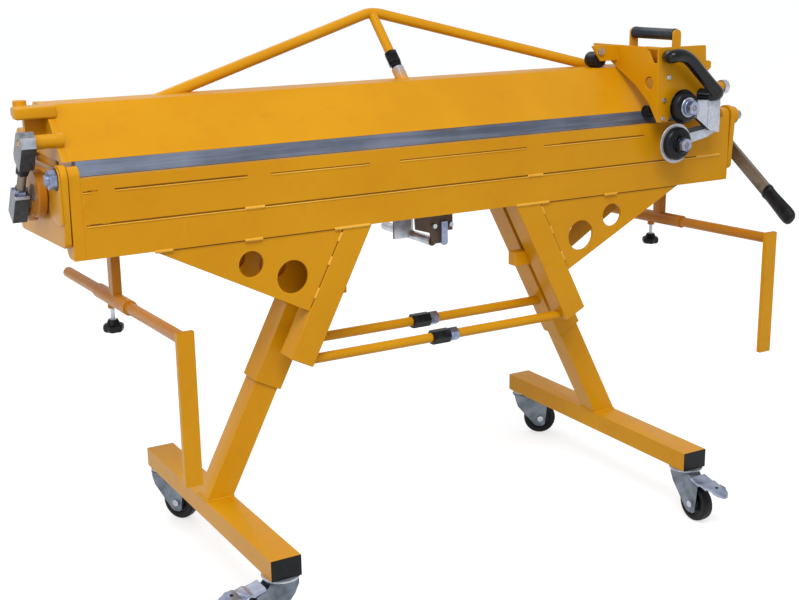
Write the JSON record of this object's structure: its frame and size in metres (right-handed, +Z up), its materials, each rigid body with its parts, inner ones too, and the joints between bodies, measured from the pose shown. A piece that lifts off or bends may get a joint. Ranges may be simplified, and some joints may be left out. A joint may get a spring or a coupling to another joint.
{
  "type": "sheet metal folding machine",
  "caption": "Hand sheet metal folder on a castor stand, with a lever-driven clamp beam, a swing-up bending beam and a rotary cutter on a rail.",
  "frame": {"origin": "on the floor under the middle of the footprint, Z = 0 at the bottom of the castor wheels", "axes": "+X along the bend line towards the lever, +Y away from the operator, +Z up"},
  "size_m": [1.648, 0.7598, 1.0887],
  "materials": {
    "orange_paint": "gloss",
    "bare_steel": "ground",
    "zinc": "zinc plated",
    "black_steel": "satin",
    "black_rubber": "matt",
    "black_plastic": "matt",
    "grey_cast": "cast",
    "tyre": "matt"
  },
  "bodies": {
    "frame": {"table_beam": "orange_paint", "table_top": "orange_paint", "bed_edge_bar": "bare_steel", "frame_ends": "orange_paint", "hinge_bolts": "zinc", "leg_socket_left": "orange_paint", "leg_socket_right": "orange_paint", "leg_left": "orange_paint", "leg_right": "orange_paint", "foot_plugs": "black_plastic", "castor_plates": "zinc", "rear_tie_rods": "orange_paint", "support_brackets": "orange_paint", "centre_brace": "black_steel"},
    "rear_long_nut": {"rear_tie_nut": "black_steel"},
    "bending_beam": {"apron": "orange_paint", "apron_ends": "orange_paint", "bending_arm_left": "orange_paint", "bending_arm_right": "orange_paint", "front_gusset_left": "orange_paint", "front_gusset_right": "orange_paint", "front_tie_rods": "orange_paint"},
    "front_long_nut": {"front_tie_nut": "black_steel"},
    "lever": {"cross_shaft": "bare_steel", "cranks": "orange_paint", "lever_bar": "bare_steel", "lever_grip": "black_rubber"},
    "clamp_beam": {"clamp_face": "orange_paint", "clamp_channel": "orange_paint", "clamp_strip": "bare_steel", "clamp_rail": "orange_paint", "clamp_ends": "orange_paint", "truss": "orange_paint"},
    "truss_long_nut": {"truss_nut": "black_steel"},
    "left_link": {"link_left": "zinc"},
    "right_link": {"link_right": "zinc"},
    "cutter": {"carriage_side_plate": "orange_paint", "carriage_front_plate": "orange_paint", "guide_block": "grey_cast", "carriage_bolts": "zinc", "carriage_grip": "black_rubber", "bow_handle": "black_rubber", "carriage_skid": "black_plastic"},
    "upper_cutting_disc": {"upper_knife": "bare_steel"},
    "lower_cutting_disc": {"lower_knife": "bare_steel"},
    "roller": {"rail_roller": "black_plastic"},
    "left_support": {"support_left": "orange_paint"},
    "right_support": {"support_right": "orange_paint"},
    "left_knob": {"clamp_knob_left": "black_plastic"},
    "right_knob": {"clamp_knob_right": "black_plastic"},
    "fork_left_front": {"castor_fork_left_front": "zinc"},
    "wheel_left_front": {"castor_wheel_left_front": "tyre"},
    "pedal_left_front": {"brake_pedal_left_front": "zinc"},
    "fork_right_front": {"castor_fork_right_front": "zinc"},
    "wheel_right_front": {"castor_wheel_right_front": "tyre"},
    "pedal_right_front": {"brake_pedal_right_front": "zinc"},
    "fork_left_rear": {"castor_fork_left_rear": "zinc"},
    "wheel_left_rear": {"castor_wheel_left_rear": "tyre"},
    "fork_right_rear": {"castor_fork_right_rear": "zinc"},
    "wheel_right_rear": {"castor_wheel_right_rear": "tyre"}
  },
  "joints": [
    {"name": "bending_beam_swing", "type": "hinge", "parent": "frame", "child": "bending_beam", "pos_m": [0, -0.034, 0.832], "axis": [-1, 0, 0], "range_deg": [0, 23]},
    {"name": "clamp_beam_lift", "type": "hinge", "parent": "frame", "child": "clamp_beam", "pos_m": [0, 0.2, 0.87], "axis": [-1, 0, 0], "range_deg": [0, 11.02]},
    {"name": "lever_pull", "type": "hinge", "parent": "frame", "child": "lever", "pos_m": [0, 0.058, 0.797], "axis": [-1, 0, 0], "range_deg": [0, 105.01]},
    {"name": "left_link_swing", "type": "hinge", "parent": "clamp_beam", "child": "left_link", "pos_m": [-0.811, 0.006, 0.893], "axis": [-1, 0, 0], "range_deg": [0, 27.71]},
    {"name": "right_link_swing", "type": "hinge", "parent": "lever", "child": "right_link", "pos_m": [0.7905, 0.10602, 0.75699], "axis": [-1, 0, 0], "range_deg": [-66.29, 0]},
    {"name": "cutter_slide", "type": "slide", "parent": "clamp_beam", "child": "cutter", "axis": [1, 0, 0], "range_m": [-1.2, 0.05]},
    {"name": "upper_disc_spin", "type": "hinge", "parent": "cutter", "child": "upper_cutting_disc", "pos_m": [0.575, -0.1, 0.871], "axis": [0, 1, 0], "continuous": true},
    {"name": "lower_disc_spin", "type": "hinge", "parent": "cutter", "child": "lower_cutting_disc", "pos_m": [0.562, -0.1, 0.792], "axis": [0, 1, 0], "continuous": true},
    {"name": "roller_spin", "type": "hinge", "parent": "cutter", "child": "roller", "pos_m": [0.475, 0.08, 0.9663], "axis": [0, 1, 0], "continuous": true},
    {"name": "front_nut_turn", "type": "hinge", "parent": "bending_beam", "child": "front_long_nut", "pos_m": [-0.003, -0.027, 0.428], "axis": [1, 0, 0], "continuous": true},
    {"name": "rear_nut_turn", "type": "hinge", "parent": "frame", "child": "rear_long_nut", "pos_m": [-0.003, 0.053, 0.444], "axis": [1, 0, 0], "continuous": true},
    {"name": "truss_nut_turn", "type": "hinge", "parent": "clamp_beam", "child": "truss_long_nut", "pos_m": [0, 0.15694, 0.9871], "axis": [0, -0.6961, -0.7179], "continuous": true},
    {"name": "left_support_slide", "type": "slide", "parent": "frame", "child": "left_support", "axis": [0, -0.9995, 0.0314], "range_m": [-0.23, 0.19]},
    {"name": "left_knob_turn", "type": "hinge", "parent": "frame", "child": "left_knob", "pos_m": [-0.667, 0.056, 0.55], "axis": [0, 0, 1], "continuous": true},
    {"name": "right_support_slide", "type": "slide", "parent": "frame", "child": "right_support", "axis": [0, -0.9995, 0.0314], "range_m": [-0.23, 0.19]},
    {"name": "right_knob_turn", "type": "hinge", "parent": "frame", "child": "right_knob", "pos_m": [0.667, 0.096, 0.55], "axis": [0, 0, 1], "continuous": true},
    {"name": "swivel_left_front", "type": "hinge", "parent": "frame", "child": "fork_left_front", "pos_m": [-0.4855, -0.253, 0.1], "axis": [0, 0, 1], "continuous": true},
    {"name": "wheel_spin_left_front", "type": "hinge", "parent": "fork_left_front", "child": "wheel_left_front", "pos_m": [-0.5235, -0.253, 0.04], "axis": [0, 1, 0], "continuous": true},
    {"name": "brake_press_left_front", "type": "hinge", "parent": "fork_left_front", "child": "pedal_left_front", "pos_m": [-0.5395, -0.253, 0.089], "axis": [0, -1, 0], "range_deg": [0, 12]},
    {"name": "swivel_right_front", "type": "hinge", "parent": "frame", "child": "fork_right_front", "pos_m": [0.4855, -0.253, 0.1], "axis": [0, 0, 1], "continuous": true},
    {"name": "wheel_spin_right_front", "type": "hinge", "parent": "fork_right_front", "child": "wheel_right_front", "pos_m": [0.4855, -0.291, 0.04], "axis": [-1, 0, 0], "continuous": true},
    {"name": "brake_press_right_front", "type": "hinge", "parent": "fork_right_front", "child": "pedal_right_front", "pos_m": [0.4855, -0.307, 0.089], "axis": [1, 0, 0], "range_deg": [0, 12]},
    {"name": "swivel_left_rear", "type": "hinge", "parent": "frame", "child": "fork_left_rear", "pos_m": [-0.4855, 0.348, 0.1], "axis": [0, 0, 1], "continuous": true},
    {"name": "wheel_spin_left_rear", "type": "hinge", "parent": "fork_left_rear", "child": "wheel_left_rear", "pos_m": [-0.46536, 0.31577, 0.04], "axis": [-0.848, -0.5299, 0], "continuous": true},
    {"name": "swivel_right_rear", "type": "hinge", "parent": "frame", "child": "fork_right_rear", "pos_m": [0.4855, 0.348, 0.1], "axis": [0, 0, 1], "continuous": true},
    {"name": "wheel_spin_right_rear", "type": "hinge", "parent": "fork_right_rear", "child": "wheel_right_rear", "pos_m": [0.51841, 0.329, 0.04], "axis": [-0.5, -0.866, 0], "continuous": true}
  ],
  "couplings": [
    {"joint": "lever_pull", "follows": "clamp_beam_lift", "ratio": 9.5281},
    {"joint": "left_link_swing", "follows": "clamp_beam_lift", "ratio": 2.5138},
    {"joint": "right_link_swing", "follows": "clamp_beam_lift", "ratio": -6.0143}
  ]
}
